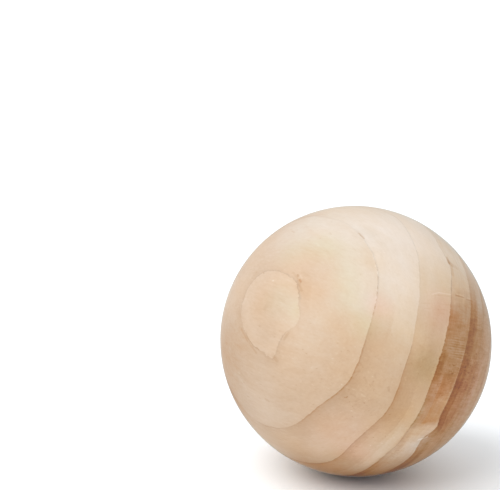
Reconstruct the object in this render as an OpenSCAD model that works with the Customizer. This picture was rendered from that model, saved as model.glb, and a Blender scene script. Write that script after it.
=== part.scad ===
// Wooden ball, turned from one block of solid wood.
// One smooth round surface with no flat, hole or seam.
// Millimetres, +Z up, with the origin at the centre of the ball.

/* [Ball] */
// Diameter of the finished ball
ball_d = 60; // [20:1:100]

/* [Hidden] */
// Facets round the middle of the ball, which leave it smooth to the eye
ball_facets = 180;
// Colour of the bare, sanded wood
wood_color = "burlywood";

// The turned ball, one full sphere about the origin
module ball() {
    color(wood_color)
        sphere(d = ball_d, $fn = ball_facets);
}

ball();
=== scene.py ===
# A plain ball turned from one block of wood. The growth rings, the late wood, the end grain and the stains
# are worked out in the solid, so they run through the ball and meet its surface as they do on a real one.
import math

import bpy
import numpy as np
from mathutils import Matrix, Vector


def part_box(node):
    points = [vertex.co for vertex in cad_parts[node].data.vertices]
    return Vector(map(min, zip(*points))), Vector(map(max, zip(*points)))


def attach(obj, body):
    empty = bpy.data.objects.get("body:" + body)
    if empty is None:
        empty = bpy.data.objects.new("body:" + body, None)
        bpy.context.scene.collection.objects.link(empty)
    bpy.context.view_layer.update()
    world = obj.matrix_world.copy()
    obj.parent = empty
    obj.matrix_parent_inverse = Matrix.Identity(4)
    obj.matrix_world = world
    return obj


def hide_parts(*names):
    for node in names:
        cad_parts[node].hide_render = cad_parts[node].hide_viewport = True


bl_info = {
    "name": "Turned Wooden Ball",
    "version": (1, 0, 0),
    "blender": (4, 5, 0),
    "location": "3D View > Sidebar > Wooden Ball",
    "description": "Makes a ball of solid wood with growth rings, and a plain studio round it",
    "category": "Add Mesh",
}

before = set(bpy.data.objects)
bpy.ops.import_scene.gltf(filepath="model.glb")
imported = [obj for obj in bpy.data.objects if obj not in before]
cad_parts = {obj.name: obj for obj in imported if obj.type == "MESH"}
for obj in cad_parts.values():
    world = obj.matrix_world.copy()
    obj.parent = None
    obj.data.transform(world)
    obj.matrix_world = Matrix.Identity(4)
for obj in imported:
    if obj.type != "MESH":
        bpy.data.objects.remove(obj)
BALL_LOW, BALL_HIGH = (Vector(corner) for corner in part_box("ball"))
RADIUS = (BALL_HIGH.z - BALL_LOW.z) / 2

# The wood is described in millimetres of a 60 mm ball, which is 30 mm from its centre to its surface.
BALL_MM = 30.0
METRES_PER_MM = RADIUS / BALL_MM


def toward(turn, rise):
    """Unit vector to a place on the ball, turn degrees to the right of its front and rise degrees above
    its middle."""
    turn, rise = math.radians(turn), math.radians(rise)
    return np.array([math.sin(turn) * math.cos(rise), -math.cos(turn) * math.cos(rise), math.sin(rise)])


# Where the block was cut from the tree. The grain points out of the nearer end-grain face, and the bark
# direction points straight away from the pith, square to the grain.
GRAIN = toward(48, -9)
BARK = toward(-38.7, 20.3)
BARK = BARK - GRAIN * (BARK @ GRAIN)
BARK = BARK / np.linalg.norm(BARK)
SIDE = np.cross(GRAIN, BARK)
PITH_DISTANCE = 60.0

# The growth rings from the bark inwards: distance of the ring's outer edge from the pith in mm, tone of its
# early wood, how much darker its late wood is, and how strong the thin dark line at its outer edge is.
# A tone is 0 for the palest wood and 1 for the darkest.
RINGS = (
    (97.0, 0.42, 0.06, 0.10),
    (89.0, 0.42, 0.08, 0.08),
    (82.5, 0.39, 0.22, 0.12),
    (75.2, 0.42, 0.18, 0.11),
    (68.8, 0.43, 0.06, 0.10),
    (62.8, 0.70, 0.05, 0.02),
    (57.2, 0.70, 0.12, 0.04),
    (51.2, 0.56, 0.24, 0.12),
    (45.6, 0.52, 0.26, 0.12),
    (39.8, 0.58, 0.22, 0.12),
    (34.5, 0.54, 0.24, 0.12),
    (28.0, 0.54, 0.24, 0.12),
)
OUTER_EDGES = [ring[0] for ring in RINGS]
EARLY_TONES = [ring[1] for ring in RINGS]
LATE_TONES = [ring[2] for ring in RINGS]
EDGE_TONES = [ring[3] for ring in RINGS]
INNERMOST_WIDTH = 6.0
WIDTHS = [outer - inner for outer, inner in zip(OUTER_EDGES, OUTER_EDGES[1:])] + [INNERMOST_WIDTH]

# The heartwood starts at the outer edge of this ring, which is the brown strip
STRIP_RING = 4
HEART_EDGE = OUTER_EDGES[STRIP_RING]

# Places where the rings bulge away from the pith or dip towards it: turn, rise, reach in mm, height in mm
SWELLS = (
    (-57, 29, 10, 0.35),
    (-36, 38, 9, -0.25),
    (-25, 11, 8, -0.32),
    (-46, 4, 9, -0.32),
    (-31, 1, 4, 0.25),
    (-76, 66, 11, 1.1),
    (-36, 70, 12, -0.4),
    (0, 60, 10, -0.2),
    (10, 34, 17, 0.4),
    (3, -2, 10, 0.45),
    (-16, -17, 11, -0.7),
    (-35, -30, 9, -0.2),
    (43, 57, 8, -0.35),
    (34, 41, 9, -0.4),
    (29, 28, 10, -0.6),
    (15, -14, 8, 0.6),
    (2, -30, 9, -0.45),
    (-18, -47, 12, 0.6),
    (55, 68, 10, 0.5),
    (62, 47, 6, -0.4),
    (55, 38, 6, 0.55),
    (34, 3, 12, -0.25),
    (26, -19, 7, 0.35),
    (10, -48, 8, 0.4),
    (40, -27, 4, 1.1),
    (36, -47.5, 10, 0.7),
    (32, -32, 5, -0.8),
    (-2, -64, 10, 1.6),
    (-33, 3.5, 4, 0.12),
    (6, 52, 8, -0.2),
    (-22.5, 17.5, 5, 0.32),
    (-21, 25, 5, -0.16),
    (21, -32, 6, 0.45),
    (26, 17, 6, -0.3),
)

# Wide soft zones: turn, rise, reach in mm, then tone, amber and olive added. Tone makes it
# darker, amber makes it a deeper yellow and olive makes it greener. Some zones are other wood, and some are
# painted light and shade. The darker bottom at (0, -68) and the darker lower left rim at (-88, -30),
# (-74, -28), (-60, -35) and (-50, -56) are painted shade where the ball meets the floor. The darker, less
# amber left rim at (-68, -4) is partly painted shade and painted haze. The darker, less amber right rim at
# (80, 2) is painted shade and haze. The paler, less amber top at (15, 62) is partly paler wood and partly a
# painted highlight. The less amber rims at (-45, 64), (-80, 60), (-82, 31), (86, 32) and (86, 60) are a
# painted haze of pale light. The less amber upper left at (-55, 45) and (-58, 18) is painted cool light.
ZONES = (
    (15, 62, 26, -0.27, -0.45, 0.0),
    (45, 48, 16, -0.14, 0.1, 0.0),
    (72, 38, 12, -0.16, 0.0, 0.0),
    (42, 28, 14, 0.00, 0.6, 0.0),
    (-45, 64, 14, -0.06, -0.8, 0.0),
    (-55, 45, 12, 0.00, -0.9, 0.0),
    (-58, 18, 17, 0.00, -0.75, 0.0),
    (-17, 44, 9, 0.05, 0.0, 0.0),
    (-3, 54, 8, -0.04, -0.3, 0.0),
    (-5, 28, 13, -0.02, -0.3, 0.0),
    (-4, 12, 9, 0.00, 0.4, 0.0),
    (5, 5, 10, -0.04, 0.0, 0.0),
    (-20, 13, 11, -0.09, -0.3, 0.0),
    (-40, 21, 8, 0.05, -0.3, 0.0),
    (-15, 28, 7, 0.03, 0.4, 0.0),
    (12, 14, 12, 0.00, 0.4, 0.0),
    (20, 15, 9, 0.00, 0.3, 0.0),
    (-68, -4, 17, 0.26, -1.0, 0.0),
    (-45, -20, 16, 0.00, -0.85, 0.0),
    (-60, -35, 14, 0.08, 0.0, 0.0),
    (-28, -47, 8, 0.10, 0.2, 0.0),
    (-5, -26, 12, -0.02, 0.2, 0.0),
    (0, -68, 18.5, 0.48, 0.4, 0.0),
    (24, -12, 16, 0.03, 0.7, 0.0),
    (5, -35, 12, -0.07, 0.5, 0.0),
    (-12, -34, 6, -0.04, 0.0, 0.0),
    (-30, -36, 8, 0.03, 0.6, 0.0),
    (27, -25, 8, 0.00, 0.7, 0.0),
    (2, -3, 9, 0.00, 0.5, 0.0),
    (-37, 4, 7, 0.00, -0.5, 0.0),
    (54, 24, 7, 0.00, 0.5, 0.0),
    (44, 5, 6, -0.03, -0.4, 0.0),
    (40, -15, 5, -0.08, 0.0, 0.0),
    (36, 14, 4.5, -0.05, 0.0, 0.0),
    (20, 26, 6, -0.03, 0.0, 0.0),
    (62, -9, 8, 0.05, 0.5, 0.0),
    (38, 21, 7, 0.00, 0.4, -0.7),
    (50, -16, 4, -0.07, -0.9, 0.0),
    (41, -14, 3, 0.00, 0.6, 0.0),
    (22, -25, 4, 0.00, -0.5, 0.0),
    (25, -33, 5, 0.02, 0.6, -0.2),
    (58, -12, 5, -0.05, -0.2, 0.0),
    (34, -7, 4, 0.00, 0.4, 0.0),
    (17, -16, 5, 0.00, 0.4, 0.0),
    (1, -39, 6, 0.00, 0.4, -0.5),
    (10, 24, 4.5, 0.00, 0.4, -0.6),
    (-33, 25, 6, 0.00, -0.3, 0.4),
    (-38, 46, 6, 0.00, 0.0, 0.4),
    (-20, 50, 6, 0.00, 0.0, 0.5),
    (-6, 46, 6, -0.02, 0.0, 0.3),
    (-3, 36, 5, -0.01, 0.0, 0.4),
    (-2, 27, 5, 0.00, 0.1, 0.4),
    (5, 18, 5, 0.00, 0.0, 0.5),
    (8, 59, 4, 0.06, 0.0, 0.0),
    (-88, -30, 13, 0.35, 0.0, 0.0),
    (2, -12, 6, 0.04, 0.0, 0.0),
    (14, 52, 7, 0.04, 0.0, 0.0),
    (-15, 24, 7, -0.04, 0.0, 0.0),
    (-36, -24, 9, -0.03, 0.0, 0.0),
    (80, 2, 13, 0.08, -0.5, 0.0),
    (70, -14, 8, 0.10, 0.0, 0.0),
    (28, -18, 4, -0.06, -0.4, 0.0),
    (-5, -41, 6, 0.06, 0.1, 0.4),
    (70, 17, 8, -0.02, -1.1, 0.0),
    (39, -3, 4, 0.00, -0.5, 0.0),
    (-4, 19, 6, 0.03, 0.3, 0.0),
    (-10, -25, 6, 0.00, 0.4, 0.0),
    (33, -34, 4, -0.06, -0.7, 0.0),
    (62, 4, 4, 0.00, 0.4, 0.0),
    (86, 32, 10, -0.10, -0.5, 0.0),
    (86, 60, 10, -0.06, -0.4, 0.0),
    (-80, 60, 10, 0.02, -0.6, 0.0),
    (-82, 31, 10, 0.04, -0.7, 0.0),
    (-74, -28, 11, 0.20, 0.0, 0.0),
    (-50, -56, 9, 0.10, 0.0, 0.0),
    (52, 20, 5, -0.03, -0.5, 0.0),
    (-4, -29, 12, 0.00, 0.0, -0.5),
    (36, -26, 5, 0.01, 0.3, -0.3),
    (20, 10, 5, -0.04, 0.0, 0.0),
    (9, 15, 4, -0.03, 0.0, 0.0),
    (9, 9, 4, 0.00, 0.3, 0.0),
    (-25, 24, 4, -0.04, -0.3, 0.0),
    (5, 49, 5, -0.03, 0.0, 0.0),
    (-34, -14, 8, 0.03, 0.0, 0.0),
    (-33, 9, 6, 0.03, 0.0, 0.0),
    (12, 43, 6, 0.00, 0.3, 0.0),
    (-37, -9, 6, 0.00, -0.4, 0.0),
    (12, -25, 5, 0.00, 0.4, 0.0),
    (-43, 22, 6, 0.00, 0.4, 0.0),
    (5, 25, 4, 0.00, -0.4, 0.0),
)

# Zones that keep to some rings: turn, rise, reach in mm, how much of the reach is soft, inner and outer edge
# in mm from the pith, then tone, amber and olive added
RING_ZONES = (
    (41, 49, 20, 0.5, 75.2, 82.5, -0.05, -0.2, 0.0),
    (8, 26, 13, 1.0, 82.5, 89.0, -0.20, 0.0, 0.0),
    (28, 1, 6, 1.0, 68.8, 75.2, 0.12, 0.3, 0.6),
    (34, -9, 8, 1.0, 62.8, 68.8, 0.02, -0.4, -0.5),
    (20, 7, 5, 1.0, 75.2, 82.5, -0.05, 0.0, 0.0),
    (-23, 29, 5.5, 1.0, 88.4, 89.0, 0.03, 0.3, 0.0),
    (-36, 5, 7, 1.0, 88.5, 89.0, 0.03, 0.0, 0.0),
    (-23, 22, 4, 1.0, 89.0, 97.0, 0.00, 0.3, 0.5),
)

# Stains along the rings: inner and outer edge in mm from the pith, how soft the inner one is, the upper and
# the lower end in mm down the ring, each with its softness, then tone, amber and olive added
STAINS = (
    (75.2, 82.5, 0.1, -17.5, 5.0, -5.5, 3.0, -0.18, 0.0, 0.0),
    (75.2, 79.5, 1.2, -8.0, 2.0, -3.0, 2.5, -0.06, 0.0, 0.0),
    (68.8, 75.2, 0.1, -32.0, 5.0, -13.0, 5.0, -0.10, 0.0, 0.0),
    (72.3, 75.2, 1.0, -16.0, 4.0, -4.0, 3.0, -0.10, 0.0, 0.0),
    (68.8, 71.6, 0.15, 4.0, 7.0, 40.0, 2.0, -0.08, 0.0, 0.0),
    (69.2, 70.9, 0.4, 12.0, 2.0, 23.0, 2.0, -0.08, 0.0, 0.0),
    (71.4, 74.0, 0.6, 14.0, 3.0, 21.0, 2.0, -0.06, 0.0, 0.0),
    (68.8, 75.2, 0.1, -9.0, 3.0, 13.0, 3.0, 0.01, 0.5, 0.0),
    (68.6, 69.3, 0.2, -13.0, 2.0, 3.0, 3.0, -0.05, 0.3, 0.0),
    (73.2, 75.2, 0.5, -8.0, 3.0, 0.0, 2.0, -0.05, 0.0, 0.0),
    (62.8, 68.8, 0.1, -14.3, 3.5, 11.3, 0.9, 0.17, 0.3, 0.0),
    (62.8, 68.8, 0.1, -12.5, 4.0, 1.0, 3.0, 0.16, 0.0, 0.0),
    (65.5, 68.8, 1.0, 0.0, 3.0, 11.2, 0.5, 0.03, 0.2, 0.0),
    (67.4, 68.9, 0.3, -3.5, 1.5, 1.5, 1.0, 0.12, 0.3, 0.0),
    (68.1, 68.9, 0.3, 5.0, 1.5, 11.4, 1.0, 0.03, -0.5, 0.5),
    (62.8, 66.6, 0.6, 0.5, 1.5, 11.4, 0.6, 0.02, 1.4, 0.0),
    (63.0, 66.4, 0.6, 0.0, 1.5, 5.0, 1.5, 0.09, 0.0, 0.0),
    (62.8, 68.8, 0.1, 11.6, 1.0, 19.5, 3.0, -0.10, -0.1, 0.0),
    (62.8, 68.8, 0.1, 14.5, 1.2, 19.5, 3.0, 0.00, -0.5, 0.0),
    (63.6, 67.0, 0.6, 14.8, 0.8, 18.0, 1.5, -0.06, 0.0, 0.0),
    (67.3, 68.9, 0.5, 11.6, 0.4, 30.0, 3.0, 0.09, 0.3, 0.0),
    (62.8, 68.8, 0.1, 20.5, 2.0, 40.0, 5.0, 0.07, 0.0, 0.0),
    (57.2, 62.8, 0.1, -27.3, 5.0, -12.3, 3.0, -0.10, 0.0, 0.0),
    (57.2, 62.8, 0.1, -12.3, 3.0, 14.3, 1.5, 0.11, 0.3, 0.0),
    (60.4, 62.8, 0.6, 12.8, 1.5, 16.5, 2.0, 0.08, -1.1, 0.0),
    (60.0, 62.8, 0.6, 17.0, 2.5, 26.0, 3.0, 0.20, -0.4, -0.3),
    (61.7, 62.8, 0.9, 12.5, 2.0, 30.0, 3.0, -0.10, 0.0, 0.0),
    (58.4, 61.2, 0.6, 1.5, 1.5, 13.5, 1.5, 0.06, 0.4, -0.5),
    (54.0, 60.2, 0.6, -3.0, 3.0, 10.0, 3.0, 0.02, -0.4, -0.7),
    (60.2, 62.8, 0.4, -15.3, 3.0, -2.0, 1.5, 0.12, 0.6, 0.0),
    (60.4, 62.8, 0.4, -2.0, 1.5, 3.4, 1.2, 0.13, 1.8, 0.1),
    (60.9, 62.7, 0.3, 2.4, 1.0, 12.6, 1.0, 0.17, 1.4, 0.0),
    (55.5, 59.0, 0.8, -2.3, 3.0, 7.7, 4.0, 0.05, 0.5, 0.0),
)

# Thin strokes: from turn and rise to turn and rise, width in mm, tone added
STROKES = (
    ((35.5, 28.0), (39.4, 28.3), 0.18, -0.10),
    ((39.4, 28.3), (45.8, 27.0), 0.20, -0.12),
    ((36.5, 27.5), (45.0, 26.3), 0.18, 0.05),
    ((49.3, 26.3), (54.6, 24.7), 0.22, 0.20),
    ((50.0, 26.8), (54.6, 25.4), 0.20, -0.08),
    ((56.3, 23.7), (60.3, 22.6), 0.20, 0.14),
    ((57.3, 24.2), (60.5, 23.3), 0.20, -0.08),
    ((59.0, 42.2), (57.1, 39.7), 0.45, 0.26),
    ((58.0, 40.4), (58.2, 38.8), 0.80, 0.12),
    ((58.2, 39.4), (61.7, 36.9), 0.70, 0.10),
    ((57.4, 38.1), (54.0, 34.7), 0.50, 0.10),
    ((31.1, -31.5), (35.5, -30.8), 0.30, -0.22),
    ((35.2, -30.7), (35.7, -29.5), 0.28, -0.14),
    ((28.8, 24.9), (43.2, 23.0), 0.16, 0.05),
    ((29.7, 22.8), (41.2, 21.2), 0.16, 0.04),
    ((-40.1, 20.5), (-39.2, 21.6), 0.60, 0.035),
    ((-49.8, 34.6), (-49.4, 34.5), 0.25, 0.12),
    ((-40.9, 32.1), (-40.6, 32.0), 0.25, -0.16),
    ((-32.6, 3.6), (-30.4, 1.6), 0.55, 0.055),
    ((-28.0, 35.7), (-27.4, 35.2), 0.28, 0.16),
    ((-25.9, 33.8), (-25.1, 32.9), 0.28, 0.18),
    ((-26.3, 35.6), (-25.2, 34.6), 0.22, -0.07),
    ((-26.2, 12.5), (-27.7, 10.0), 0.35, 0.08),
    ((-19.5, 58.2), (-17.2, 57.0), 0.28, 0.07),
    ((-37.8, -15.3), (-36.1, -16.0), 0.32, 0.08),
    ((-54.7, 57.1), (-50.4, 56.4), 0.30, 0.08),
    ((13.1, -6.0), (13.4, -7.2), 0.30, 0.10),
    ((2.6, 58.3), (6.0, 55.0), 0.28, 0.22),
    ((0.5, -0.2), (2.2, 0.4), 0.26, 0.05),
    ((4.0, -2.2), (5.0, -4.0), 0.28, 0.05),
    ((6.5, -5.5), (7.2, -3.8), 0.28, 0.05),
    ((-1.0, -8.5), (0.8, -9.6), 0.26, 0.05),
    ((7.8, -1.0), (8.2, -2.4), 0.26, 0.05),
    ((1.0, -11.5), (2.6, -10.4), 0.26, 0.05),
    ((3.2, -8.8), (4.4, -9.6), 0.28, -0.08),
    ((2.6, 3.2), (3.3, 1.6), 0.26, 0.05),
    ((-31.0, 36.6), (-27.0, 34.0), 0.30, 0.06),
    ((-26.4, 33.4), (-23.6, 29.4), 0.34, 0.08),
    ((-51.9, 10.6), (-46.5, 6.6), 0.30, 0.07),
    ((-45.4, 6.0), (-41.0, 3.0), 0.30, 0.07),
)

# How the thin dark lines at the rings' edges come and go: turn, rise, reach in mm, times as strong
EDGE_ZONES = (
    (-25, 18, 5, 0.0),
    (-33, 4, 4.5, 0.4),
    (-25, 32, 7, 1.9),
    (-44, 6, 5, 2.2),
    (-53, 14, 4, 0.2),
    (-20, 70, 12, 0.4),
    (-28, -26, 9, 0.4),
    (-54, -28, 8, 0.2),
    (10, 33, 4, 2.0),
    (6, 19, 9, 0.5),
    (27, 24, 12, 0.3),
    (48, 32, 6, 2.2),
    (14, -40, 5, 1.4),
    (5, -15, 9, 1.3),
    (2, 5, 6, 1.7),
    (-3, -8, 5, 1.5),
)

# How the late wood comes and goes: turn, rise, reach in mm, times as dark
LATE_ZONES = (
    (25, 60, 28, 0.1),
    (22, 22, 16, 0.35),
    (-36, -28, 9, 0.6),
    (-55, -28, 8, 0.4),
    (-30, 60, 18, 0.5),
)

# Where specks and small pits gather: turn, rise, reach in mm, how many
SPECK_ZONES = (
    (3, -12, 12, 1.0),
    (8, -35, 11, 1.0),
    (-26, 34, 4, 0.8),
    (40, -5, 9, 1.0),
    (53, -3, 8, 1.2),
    (25, 5, 8, 0.7),
    (-50, -10, 9, 0.4),
    (-15, 5, 10, 0.5),
)

# The colours of the wood from the palest tone to the darkest
PALETTE = (
    (0.00, (0.648, 0.534, 0.431)),
    (0.10, (0.604, 0.489, 0.380)),
    (0.23, (0.553, 0.431, 0.315)),
    (0.40, (0.495, 0.350, 0.235)),
    (0.56, (0.419, 0.275, 0.167)),
    (0.73, (0.362, 0.192, 0.084)),
    (0.86, (0.302, 0.138, 0.035)),
    (1.00, (0.230, 0.077, 0.010)),
    (1.25, (0.130, 0.030, 0.004)),
)

# What a full step of amber and of olive adds to the red, green and blue of the colour, as shares of it
AMBER_SHIFT = (0.02, -0.05, -0.16)
OLIVE_SHIFT = (-0.06, 0.04, -0.04)

# How unevenly the rings run: size of the lumps and how far they move the rings, in mm
UNEVEN = ((2.5, 0.08), (0.8, 0.06))

# Width of the thin dark line at a ring's edge, softness of marks that end at one, and how far the edges of
# zones and strokes are frayed, in mm
LINE_WIDTH = 0.4
RING_SOFT = 0.1
FRAY = (0.1, -0.1, 0.1)

# How sharply the late wood darkens towards the ring's outer edge
LATE_POWER = 4.0

# How far the stains step up across the strip in mm, and between which distances along the grain they come in
STAIN_STEP = 2.7
STAINS_START = -14.0
STAINS_FULL = 4.0

# Where the end grain starts and where it is full, in mm from the ball's middle towards the end-grain face
END_GRAIN_START = 20.0
END_GRAIN_FULL = 28.0

# Lumps to a mm in each kind of fine mark: along the grain, outwards from the pith and sideways
FIBRES = (0.14, 2.6, 2.6)
MOTTLE = (0.22, 0.6, 0.6)
FLECKS = (0.9, 2.4, 2.4)
SCUFFS = (3.5, 0.8, 0.7)
AMBER_CLOUDS = (0.12, 0.3, 0.3)
STAIN_SIDES = (0.5, 1.6, 1.6)
STAIN_ENDS = (0.3, 1.2, 1.2)

# Lumps to a mm in the streaks: outwards across the rings, along the grain and sideways
STREAKS = (2.2, 0.12, 0.1)

# Lumps to a mm in the marks on the end grain: across the rays, along them and along the grain
RAYS = (2.4, 0.3, 0.3)
BLOTS = (0.9, 0.5, 0.2)
DASHES = (3.0, 1.1, 0.9)

# A patch of fine cuts across the strip: turn, rise, reach in mm, how much of the reach is soft, and how far
# apart the cuts are in mm
COMB_PATCH = (43.5, 6.5, 3.2, 0.5)
COMB_SPACING = 0.5

# The finish of the bare wood
BUMP_STRENGTH = 0.6
REFRACTION = 1.4
SHEEN_ROUGHNESS = 0.14
SHEEN_TINT = (0.4, 0.85, 1.0)

# The grid of the ball's mesh: steps round it and steps from its lowest point to its highest
TURN_STEPS = 440
RISE_STEPS = 220

# The large soft light shines from the upper left, and the surroundings look a little brighter than the
# light that they give
KEY_TURN = -55
KEY_RISE = 48
SEEN_SKY = 1.2
SENSOR_WIDTH = 36.0


class Link:
    """One output of a shader node. Python's arithmetic on it adds Math nodes, or Vector Math nodes for
    a vector."""

    __array_ufunc__ = None

    def __init__(self, tree, socket):
        self.tree = tree
        self.socket = socket

    def node(self, kind, settings=None, inputs=None, output=0):
        """Adds a node to this link's tree: first its settings, then the values or links of its sockets."""
        return add_node(self.tree, kind, settings, inputs, output)

    def maths(self, operation, *values):
        """Adds the node for one operation. A number times a vector is a Scale."""
        numbers = [v for v in values if isinstance(v, Link) and v.socket.type == "VALUE"]
        vectors = [v for v in values if np.ndim(v) or isinstance(v, Link) and v not in numbers]
        if vectors and numbers and operation == "MULTIPLY":
            settings = {"operation": "SCALE"}
            return self.node("ShaderNodeVectorMath", settings, {0: vectors[0], "Scale": numbers[0]})
        kind = "ShaderNodeVectorMath" if vectors else "ShaderNodeMath"
        return self.node(kind, {"operation": operation}, dict(enumerate(values)))

    def __add__(self, other):
        return self.maths("ADD", self, other)

    def __radd__(self, other):
        return self.maths("ADD", other, self)

    def __sub__(self, other):
        return self.maths("SUBTRACT", self, other)

    def __rsub__(self, other):
        return self.maths("SUBTRACT", other, self)

    def __mul__(self, other):
        return self.maths("MULTIPLY", self, other)

    def __rmul__(self, other):
        return self.maths("MULTIPLY", other, self)

    def __truediv__(self, other):
        return self.maths("DIVIDE", self, other)

    def __pow__(self, other):
        return self.maths("POWER", self, other)

    def __mod__(self, other):
        return self.maths("FLOORED_MODULO", self, other)

    def __matmul__(self, other):
        """The dot product of two vectors."""
        return self.node("ShaderNodeVectorMath", {"operation": "DOT_PRODUCT"}, {0: self, 1: other}, "Value")


def add_node(tree, kind, settings=None, inputs=None, output=0):
    """Adds one node and returns an output of it. Its settings come first, with a colour ramp's stops and
    steps among them, and then the values or links of its sockets."""
    node = tree.nodes.new(kind)
    for name, value in (settings or {}).items():
        if name == "stops":
            elements = node.color_ramp.elements
            while len(elements) < len(value):
                elements.new(1.0)
            for element, (place, colour) in zip(elements, value):
                element.position = place
                element.color = (*colour, 1.0)
        elif name == "steps":
            node.color_ramp.interpolation = value
        else:
            setattr(node, name, value)
    for name, value in (inputs or {}).items():
        socket = node.inputs[name]
        if isinstance(value, Link):
            tree.links.new(value.socket, socket)
        elif socket.type in ("VECTOR", "RGBA"):
            value = [value] * 3 if np.isscalar(value) else list(value)
            socket.default_value = value + [1.0] if socket.type == "RGBA" and len(value) == 3 else value
        else:
            socket.default_value = value
    return Link(tree, node.outputs[output]) if len(node.outputs) else None


def length(vector):
    """How long a vector is, for a link or for an array of vectors."""
    if isinstance(vector, Link):
        return vector.node("ShaderNodeVectorMath", {"operation": "LENGTH"}, {0: vector}, "Value")
    return np.linalg.norm(vector, axis=-1)


def ramp(value, start, end):
    """0 at start, rising evenly to 1 at end, and flat outside them, for a link or an array."""
    if isinstance(value, Link):
        # Map Range's own clamp is left off here and in fade, because in a shader this long it makes the
        # renderer run out of room
        rise = value.node("ShaderNodeMapRange", {"clamp": False}, {0: value, 1: start, 2: end})
        return value.node("ShaderNodeClamp", None, {0: rise})
    return np.clip((value - start) / (end - start), 0, 1)


def fade(value, start, end):
    """0 at start, rising smoothly to 1 at end, and flat outside them, for a link or an array."""
    if isinstance(value, Link):
        settings = {"interpolation_type": "SMOOTHSTEP", "clamp": False}
        return value.node("ShaderNodeMapRange", settings, {0: value, 1: start, 2: end})
    share = np.clip((value - start) / (end - start), 0, 1)
    return share * share * (3 - 2 * share)


def near(point, turn, rise, reach, soft=1.0):
    """1 near a place on the ball, fading to 0 at reach mm from it. soft is the share of the reach that
    fades."""
    away = length(point - BALL_MM * toward(turn, rise))
    return fade(away, reach, reach * (1 - soft))


def between(value, low, low_soft, high, high_soft):
    """1 from low to high, with edges that fade over the softness on both sides of each."""
    return fade(value, low - low_soft, low + low_soft) * fade(value, high + high_soft, high - high_soft)


def by_ring(age, values):
    """The value for the ring that an age lies in."""
    if isinstance(age, Link):
        count = len(values)
        stops = [(ring / count, (value, value, value)) for ring, value in enumerate(values)]
        middle = (age.maths("FLOOR", age) + 0.5) / count
        grey = age.node("ShaderNodeValToRGB", {"steps": "CONSTANT", "stops": stops}, {0: middle})
        return age.node("ShaderNodeRGBToBW", None, {0: grey})
    return np.take(values, np.floor(age).astype(int), mode="clip")


def noise(point, size, detail=2.0, roughness=0.5):
    """Cloudy noise about 0, seldom past -1 or 1, with lumps about size mm across."""
    inputs = {"Vector": point, "Scale": 1 / size, "Detail": detail, "Roughness": roughness}
    return (point.node("ShaderNodeTexNoise", None, inputs) - 0.5) * 3.0


def ripple(value, spacing):
    """Smooth waves from -1 to 1, one to each spacing."""
    return value.maths("SINE", value * (2 * math.pi / spacing))


def vector(x, y, z):
    """A link and two more links or numbers as one vector."""
    return x.node("ShaderNodeCombineXYZ", None, {0: x, 1: y, 2: z})


def marks(x, y, z, lumps, detail=2.0, roughness=0.5):
    """Noise drawn out in one way: lumps says how many there are to a mm along x, y and z."""
    return noise(vector(x * lumps[0], y * lumps[1], z * lumps[2]), 1.0, detail, roughness)


def parts(value):
    """The three numbers of a vector link."""
    outputs = value.node("ShaderNodeSeparateXYZ", None, {0: value}).socket.node.outputs
    return [Link(value.tree, socket) for socket in outputs]


def stroke(point, start, end, width):
    """1 on a straight stroke between two places on the ball, fading to 0 at width mm from it."""
    first, last = BALL_MM * toward(*start), BALL_MM * toward(*end)
    span = np.linalg.norm(last - first)
    away = point - first
    along = away @ ((last - first) / span)
    reached = ramp(along, 0.0, span) * span
    gap = length(away) ** 2 + reached * (reached - 2 * along)
    return fade(gap, width ** 2, (0.3 * width) ** 2)


def log_frame(point):
    """Where a point is in the log, in mm: along the grain, outward from the pith to the bark, and
    sideways."""
    across = point + BARK * PITH_DISTANCE
    return across @ GRAIN, across @ BARK, across @ SIDE


def pith_depth(point):
    """Distance in mm from the pith, which is what makes the rings: the distance to a straight line
    along the grain, plus the swells."""
    along, outward, sideways = log_frame(point)
    depth = (outward * outward + sideways * sideways) ** 0.5
    for turn, rise, reach, height in SWELLS:
        depth = depth + height * near(point, turn, rise, reach)
    return depth


def ring_age(depth):
    """Rings counted from the bark inwards: whole at each ring's outer edge and rising evenly across it."""
    age = 0.0
    for outer, inner in zip(OUTER_EDGES, OUTER_EDGES[1:]):
        age = age + ramp(depth, outer, inner)
    return age


def ring_slope(point, depth):
    """How steeply the rings meet the surface: about 1 where they are square to it, and near 0 where they
    lie in it."""
    along, outward, sideways = log_frame(point)
    facing = (outward * (outward - PITH_DISTANCE) + sideways * sideways) / (depth * BALL_MM)
    return ramp(1 - facing * facing, 0.01, 1.01) ** 0.5 + 0.1


class Spot:
    """A point in the wood, in mm, with its place in the log and in its growth ring."""

    def __init__(self, point):
        self.point = point
        self.along, self.outward, self.sideways = log_frame(point)
        self.log = vector(self.along, self.outward, self.sideways)
        self.depth = pith_depth(point)
        for size, height in UNEVEN:
            self.depth = self.depth + height * noise(point, size)
        self.age = ring_age(self.depth)
        self.share = self.age % 1.0
        self.slope = ring_slope(point, self.depth)
        # Zones and strokes are measured from a slightly shifted point, which frays their edges
        self.place = point + noise(point, 0.9) * FRAY


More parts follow.
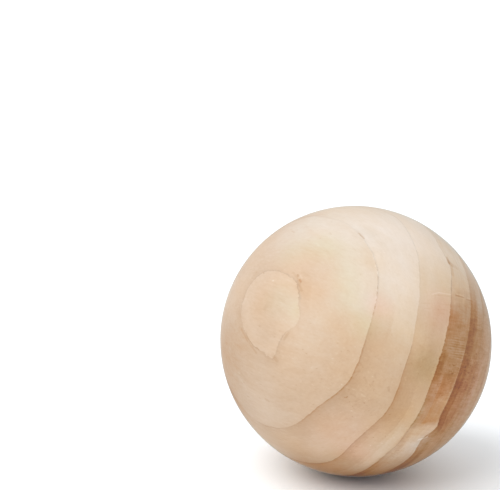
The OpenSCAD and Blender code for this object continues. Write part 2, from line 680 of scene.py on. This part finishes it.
def ring_look(spot):
    """The tone and the amber of the plain rings, and the share of late wood."""
    # The late wood darkens towards the outer edge of each ring, which ends in a thin line
    late = (1 - spot.share) ** LATE_POWER
    for turn, rise, reach, times in LATE_ZONES:
        late = late * (1 + (times - 1) * near(spot.place, turn, rise, reach))
    edge = fade(spot.share * by_ring(spot.age, WIDTHS) / spot.slope, LINE_WIDTH, 0.0)
    edge = edge * (1 + 0.9 * noise(spot.point, 0.9))
    for turn, rise, reach, times in EDGE_ZONES:
        edge = edge * (1 + (times - 1) * near(spot.place, turn, rise, reach))
    tone = by_ring(spot.age, EARLY_TONES)
    tone = tone + by_ring(spot.age, LATE_TONES) * late
    tone = tone + by_ring(spot.age, EDGE_TONES) * edge
    amber = 0.3 * noise(spot.log * AMBER_CLOUDS, 1.0) - 0.7 * edge
    return tone, amber, late


def with_zones(look, spot):
    """The look with the soft zones added, some of them painted shade and painted light."""
    for turn, rise, reach, *change in ZONES:
        look = look + near(spot.place, turn, rise, reach) * change
    for turn, rise, reach, soft, inner, outer, *change in RING_ZONES:
        mask = near(spot.place, turn, rise, reach, soft)
        mask = mask * between(spot.depth, inner, RING_SOFT, outer, RING_SOFT)
        look = look + mask * change
    return look


def with_stains(look, spot):
    """The look with the stains added. They have ragged edges, step up across the strip, and fade out along
    the grain."""
    ragged = spot.depth + 0.35 * noise(spot.log * STAIN_SIDES, 1.0, 4.0, 0.6)
    step = STAIN_STEP * ramp(spot.depth, HEART_EDGE, OUTER_EDGES[STRIP_RING + 1])
    down = spot.sideways + step + 0.3 * noise(spot.log * STAIN_ENDS, 1.0, 3.0)
    faded = 0.3 + 0.7 * fade(spot.along, STAINS_START, STAINS_FULL)
    for inner, outer, soft, upper, upper_soft, lower, lower_soft, *change in STAINS:
        mask = between(ragged, inner, soft, outer, RING_SOFT)
        mask = mask * between(down, upper, upper_soft, lower, lower_soft) * faded
        look = look + mask * change
    return look


def with_strokes(tone, spot):
    """The tone with the thin strokes added."""
    for start, end, width, darker in STROKES:
        tone = tone + darker * stroke(spot.place, start, end, width)
    return tone


def with_fine_marks(tone, amber, spot):
    """The tone and the amber with the fine marks added, each at its own strength, and their height. Fibres
    run along the grain, rays run from the pith to the bark, and streaks follow the rings. Dashes and the
    comb of fine cuts cross the grain in the heartwood."""
    fibres = noise(spot.log * FIBRES, 1.0, 3.0, 0.6)
    mottle = noise(spot.log * MOTTLE, 1.0, 4.0, 0.6)
    flecks = noise(spot.log * FLECKS, 1.0, 2.0)
    scuffs = marks(spot.along, spot.outward, spot.sideways, SCUFFS, 1.0)
    streaks = marks(spot.depth, spot.along, spot.sideways, STREAKS, 3.0)
    # The rays lean a little, so the distance across them is not quite the sideways one
    cross = 0.97 * spot.sideways + 0.25 * spot.along - 0.1 * spot.outward
    rays = marks(cross, spot.depth, spot.along, RAYS, 3.0, 0.6)
    blots = marks(cross, spot.depth, spot.along, BLOTS, 3.0)
    end_grain = fade(spot.point @ GRAIN, END_GRAIN_START, END_GRAIN_FULL)
    heart = fade(spot.depth, HEART_EDGE + 0.2, HEART_EDGE - 0.2)
    specks = 0.3
    for turn, rise, reach, many in SPECK_ZONES:
        specks = specks + many * near(spot.place, turn, rise, reach)
    pits = fade(flecks, 0.5, 0.9) * specks
    bumps = fade(flecks, -0.5, -0.9) * specks
    tone = tone + 0.026 * fibres + 0.026 * flecks + (0.036 + 0.02 * specks) * mottle
    tone = tone + 0.02 * noise(spot.point, 8.0)
    # Pits are painted darker and bumps painted lighter, as painted shade in the pits and a painted highlight
    # on the bumps, besides their height below
    tone = tone + 0.22 * pits - 0.15 * bumps
    tone = tone + 0.04 * fade(scuffs, 0.6, 1.1) + (0.02 + 0.05 * heart) * streaks
    tone = tone + (0.02 + 0.07 * heart) * end_grain * rays + 0.09 * heart * end_grain * blots
    dashes = marks(cross, spot.depth, spot.along, DASHES, 1.0)
    tone = tone + heart * specks * (0.15 * fade(dashes, 0.3, 0.8) - 0.1 * fade(dashes, -0.4, -0.9))
    comb = near(spot.place, *COMB_PATCH) * ripple(cross, COMB_SPACING)
    tone = tone + 0.05 * comb
    amber = amber + 0.5 * heart * noise(spot.point, 3.0)
    height = 0.3 * fibres + 0.4 * scuffs - pits + bumps
    return tone, amber, height


def wood_look(point):
    """The tone of the wood, how amber and how olive it is, the share of late wood and the height of the
    fine marks, at a point in mm."""
    spot = Spot(point)
    tone, amber, late = ring_look(spot)
    look = with_stains(with_zones(vector(tone, amber, 0.0), spot), spot)
    tone, amber, olive = parts(look)
    tone = with_strokes(tone, spot)
    tone, amber, height = with_fine_marks(tone, amber, spot)
    return tone, amber, olive, late, height


class WoodSettings(bpy.types.PropertyGroup):
    """Sizes and colours of the wooden ball"""

    relief: bpy.props.FloatProperty(
        name="Relief", description="How far the hard late wood stands proud of the soft early wood",
        default=0.00003, min=0.0, max=0.0005, precision=5, unit="LENGTH")
    grain_depth: bpy.props.FloatProperty(
        name="Grain depth", description="Depth of the fine fibres, pits and scuffs in the surface",
        default=0.00002, min=0.0, max=0.0005, precision=5, unit="LENGTH")
    tint: bpy.props.FloatVectorProperty(
        name="Tint", description="Colour that the bare wood is tinted with, white for none", subtype="COLOR",
        size=3, default=(1.0, 1.0, 1.0), min=0.0, max=1.0)
    roughness: bpy.props.FloatProperty(
        name="Roughness", description="Roughness of the early wood, 0 for polished and 1 for dull",
        default=0.52, min=0.0, max=1.0, subtype="FACTOR")
    sheen: bpy.props.FloatProperty(
        name="Sheen", description="How strongly the sanded fibres catch light at the ball's rim",
        default=0.4, min=0.0, max=1.0, subtype="FACTOR")


class StudioSettings(bpy.types.PropertyGroup):
    """Sizes and colours of the studio"""

    floor_size: bpy.props.FloatProperty(
        name="Floor", description="Width of the floor", default=8.0, min=1.0, unit="LENGTH")
    floor_colour: bpy.props.FloatVectorProperty(
        name="Floor colour", description="Colour of the floor", subtype="COLOR", size=3,
        default=(0.935, 0.958, 0.975), min=0.0, max=1.0)
    sky: bpy.props.FloatProperty(
        name="Surroundings", description="Brightness of the pale surroundings", default=0.92, min=0.0)
    sky_colour: bpy.props.FloatVectorProperty(
        name="Surroundings colour", description="Colour of the pale surroundings", subtype="COLOR", size=3,
        default=(0.96, 0.98, 1.0), min=0.0, max=1.0)
    key_strength: bpy.props.FloatProperty(
        name="Key light", description="Strength of the large soft light", default=2.12, min=0.0)
    key_colour: bpy.props.FloatVectorProperty(
        name="Key colour", description="Colour of the large soft light", subtype="COLOR", size=3,
        default=(1.0, 0.99, 0.975), min=0.0, max=1.0)
    key_spread: bpy.props.FloatProperty(
        name="Key spread", description="How wide the large soft light looks from the ball",
        default=math.radians(60), min=0.0, max=math.pi, subtype="ANGLE")
    lens: bpy.props.FloatProperty(
        name="Lens", description="Focal length of the camera", default=68.0, min=10.0, unit="CAMERA")
    camera_distance: bpy.props.FloatProperty(
        name="Camera distance", description="From the ball's centre to the camera", default=7.142 * RADIUS,
        min=2 * RADIUS, unit="LENGTH")
    camera_rise: bpy.props.FloatProperty(
        name="Camera rise", description="How high the camera stands over the ball's middle",
        default=math.radians(12.0), min=0.0, max=math.radians(89), subtype="ANGLE")
    camera_tilt: bpy.props.FloatProperty(
        name="Camera tilt", description="How far the camera looks down", default=math.radians(6.365),
        subtype="ANGLE")
    camera_pan: bpy.props.FloatProperty(
        name="Camera pan", description="How far the camera looks to the left of the ball",
        default=math.radians(6.387), subtype="ANGLE")


def wood_material(wood):
    """Bare turned wood."""
    material = bpy.data.materials.new("wood")
    material.use_nodes = True
    tree = material.node_tree
    tree.nodes.clear()
    coords = add_node(tree, "ShaderNodeTexCoord", None, None, "Object")
    point = coords * (1 / METRES_PER_MM)
    tone, amber, olive, late, height = wood_look(point)
    darkest = PALETTE[-1][0]
    stops = [(tone_stop / darkest, np.multiply(shade, wood.tint)) for tone_stop, shade in PALETTE]
    colour = add_node(tree, "ShaderNodeValToRGB", {"stops": stops}, {0: tone / darkest})
    colour = colour * (amber * AMBER_SHIFT + olive * OLIVE_SHIFT + 1)
    roughness = wood.roughness - 0.06 * late + 0.05 * height
    fine = {"Strength": BUMP_STRENGTH, "Distance": wood.grain_depth, "Height": height}
    bump = add_node(tree, "ShaderNodeBump", None, fine)
    inputs = {
        "Base Color": colour, "Roughness": roughness, "Normal": bump, "IOR": REFRACTION,
        "Sheen Weight": wood.sheen, "Sheen Roughness": SHEEN_ROUGHNESS, "Sheen Tint": SHEEN_TINT,
    }
    shader = add_node(tree, "ShaderNodeBsdfPrincipled", None, inputs)
    add_node(tree, "ShaderNodeOutputMaterial", None, {0: shader})
    return material


def ball_surface(relief):
    """The ball as a grid of turn and rise, closed by one point at each pole. A point's distance from the
    centre is the ball's radius, less the relief times how soft the wood is there. The wood is hardest at
    each ring's outer edge and softens inwards, with the step at the edge smoothed over a millimetre."""
    turn = np.linspace(0, 2 * np.pi, TURN_STEPS, endpoint=False)
    rise = np.linspace(-np.pi / 2, np.pi / 2, RISE_STEPS + 1)[1:-1]
    turn, rise = np.meshgrid(turn, rise)
    direction = np.stack([np.cos(turn) * np.cos(rise), np.sin(turn) * np.cos(rise), np.sin(rise)], -1)
    direction = np.concatenate([direction.reshape(-1, 3), [[0, 0, -1], [0, 0, 1]]])
    age = ring_age(pith_depth(direction * BALL_MM))
    share = age % 1.0
    proud = (1 - share) ** 3 * fade(share * by_ring(age, WIDTHS), 0.0, 1.0)
    points = direction * (RADIUS - relief * (1 - proud))[:, None]
    rows = RISE_STEPS - 1
    index = np.arange(rows * TURN_STEPS).reshape(rows, TURN_STEPS)
    right = np.roll(index, -1, axis=1)
    quads = np.stack([index[:-1], right[:-1], right[1:], index[1:]], -1).reshape(-1, 4)
    bottom, top = rows * TURN_STEPS, rows * TURN_STEPS + 1
    low = np.stack([right[0], index[0], np.full(TURN_STEPS, bottom)], -1)
    high = np.stack([index[-1], right[-1], np.full(TURN_STEPS, top)], -1)
    return points, quads, np.concatenate([low, high])


def mesh_from(name, points, quads, triangles):
    """A smooth mesh from arrays of points, four-sided faces and three-sided faces."""
    mesh = bpy.data.meshes.new(name)
    corners = np.concatenate([quads.ravel(), triangles.ravel()])
    starts = np.concatenate([np.arange(len(quads)) * 4, len(quads) * 4 + np.arange(len(triangles)) * 3])
    mesh.vertices.add(len(points))
    mesh.vertices.foreach_set("co", points.astype(np.float32).ravel())
    mesh.loops.add(len(corners))
    mesh.loops.foreach_set("vertex_index", corners.astype(np.int32))
    mesh.polygons.add(len(starts))
    mesh.polygons.foreach_set("loop_start", starts.astype(np.int32))
    mesh.update(calc_edges=True)
    mesh.validate()
    mesh.shade_smooth()
    return mesh


class BALL_OT_turned_ball(bpy.types.Operator):
    """Makes the turned wooden ball over its CAD solid"""

    bl_idname = "ball.turned_ball"
    bl_label = "Turned Ball"
    bl_options = {"REGISTER", "UNDO"}

    def execute(self, context):
        wood = context.scene.ball_wood
        mesh = mesh_from("turned_ball", *ball_surface(wood.relief))
        mesh.materials.append(wood_material(wood))
        ball = bpy.data.objects.new("turned_ball", mesh)
        context.scene.collection.objects.link(ball)
        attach(ball, "root")
        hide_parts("ball")
        return {"FINISHED"}


class BALL_OT_studio(bpy.types.Operator):
    """Makes the pale floor, the white surroundings, the soft light and the camera"""

    bl_idname = "ball.studio"
    bl_label = "Studio"
    bl_options = {"REGISTER", "UNDO"}

    def execute(self, context):
        studio = context.scene.ball_studio
        self.floor(context, studio)
        self.surroundings(context, studio)
        self.key_light(context, studio)
        self.camera(context, studio)
        context.scene.view_settings.view_transform = "Standard"
        return {"FINISHED"}

    def floor(self, context, studio):
        """One square, level with the lowest point of the ball."""
        half = studio.floor_size / 2
        z = BALL_LOW.z
        corners = [(-half, -half, z), (half, -half, z), (half, half, z), (-half, half, z)]
        mesh = bpy.data.meshes.new("floor")
        mesh.from_pydata(corners, [], [(0, 1, 2, 3)])
        material = bpy.data.materials.new("floor")
        material.use_nodes = True
        tree = material.node_tree
        tree.nodes.clear()
        shader = add_node(tree, "ShaderNodeBsdfDiffuse", None, {"Color": studio.floor_colour})
        add_node(tree, "ShaderNodeOutputMaterial", None, {0: shader})
        mesh.materials.append(material)
        floor = bpy.data.objects.new("floor", mesh)
        context.scene.collection.objects.link(floor)

    def surroundings(self, context, studio):
        """An even pale light from all round, which the camera sees a little brighter."""
        world = bpy.data.worlds.new("surroundings")
        world.use_nodes = True
        tree = world.node_tree
        tree.nodes.clear()
        seen = add_node(tree, "ShaderNodeLightPath", None, None, "Is Camera Ray")
        strength = seen * (SEEN_SKY - studio.sky) + studio.sky
        background = {"Color": studio.sky_colour, "Strength": strength}
        shader = add_node(tree, "ShaderNodeBackground", None, background)
        add_node(tree, "ShaderNodeOutputWorld", None, {0: shader})
        context.scene.world = world

    def key_light(self, context, studio):
        """A large soft light from the upper left."""
        data = bpy.data.lights.new("key", "SUN")
        data.energy = studio.key_strength
        data.color = studio.key_colour
        data.angle = studio.key_spread
        light = bpy.data.objects.new("key", data)
        light.rotation_euler = Vector(toward(KEY_TURN, KEY_RISE)).to_track_quat("Z", "Y").to_euler()
        context.scene.collection.objects.link(light)

    def camera(self, context, studio):
        """In front of the ball and a little above it, looking past its upper left, so that the ball is in
        the lower right of the frame."""
        data = bpy.data.cameras.new("camera")
        data.lens = studio.lens
        data.sensor_width = SENSOR_WIDTH
        data.clip_end = 100.0
        camera = bpy.data.objects.new("camera", data)
        forward = math.cos(studio.camera_rise) * studio.camera_distance
        upward = math.sin(studio.camera_rise) * studio.camera_distance
        camera.location = (0.0, -forward, upward)
        camera.rotation_euler = (math.pi / 2 - studio.camera_tilt, 0.0, studio.camera_pan)
        context.scene.collection.objects.link(camera)
        context.scene.camera = camera


class BALL_PT_panel(bpy.types.Panel):
    """The ball's tab in the sidebar"""

    bl_idname = "BALL_PT_panel"
    bl_label = "Wooden Ball"
    bl_space_type = "VIEW_3D"
    bl_region_type = "UI"
    bl_category = "Wooden Ball"

    def draw(self, context):
        layout = self.layout
        wood = context.scene.ball_wood
        studio = context.scene.ball_studio
        layout.operator(BALL_OT_turned_ball.bl_idname)
        for name in wood.__annotations__:
            layout.prop(wood, name)
        layout.operator(BALL_OT_studio.bl_idname)
        for name in studio.__annotations__:
            layout.prop(studio, name)


CLASSES = (WoodSettings, StudioSettings, BALL_OT_turned_ball, BALL_OT_studio, BALL_PT_panel)


def register():
    for cls in CLASSES:
        bpy.utils.register_class(cls)
    bpy.types.Scene.ball_wood = bpy.props.PointerProperty(type=WoodSettings)
    bpy.types.Scene.ball_studio = bpy.props.PointerProperty(type=StudioSettings)


def unregister():
    del bpy.types.Scene.ball_studio
    del bpy.types.Scene.ball_wood
    for cls in reversed(CLASSES):
        bpy.utils.unregister_class(cls)


def main():
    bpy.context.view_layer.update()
    register()
    bpy.ops.ball.turned_ball()
    bpy.ops.ball.studio()


if __name__ == "__main__":
    main()
